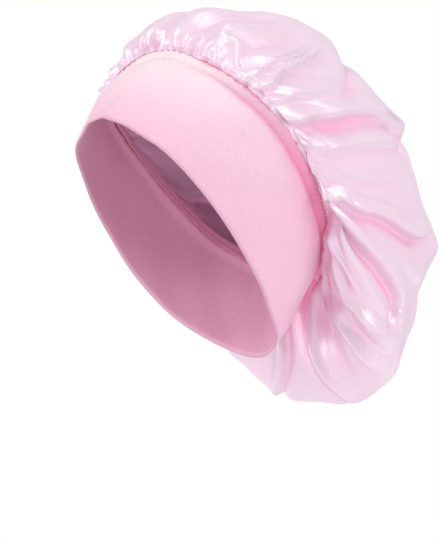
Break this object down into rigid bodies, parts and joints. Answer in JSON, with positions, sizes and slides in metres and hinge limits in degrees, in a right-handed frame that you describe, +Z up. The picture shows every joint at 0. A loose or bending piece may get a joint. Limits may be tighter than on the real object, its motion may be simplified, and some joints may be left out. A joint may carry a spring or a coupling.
{
  "type": "sleep bonnet",
  "caption": "Satin sleep bonnet in its worn form: a wide stretch band round the head and a gathered bag that holds the hair.",
  "frame": {"origin": "the middle of the head that wears it, level with the middle of the slanting head opening and 23 mm behind it", "axes": "+Z up, the front of the head faces -Y, the left side of the head is +X"},
  "size_m": [0.1992, 0.3009, 0.3012],
  "materials": {
    "band": "matte pink stretch knit",
    "crown": "glossy pale pink satin",
    "gathered_seam": "pink overlocked seam allowance"
  },
  "bodies": {
    "root": {"band": "band", "crown": "crown", "gathered_seam": "gathered_seam"}
  },
  "joints": []
}
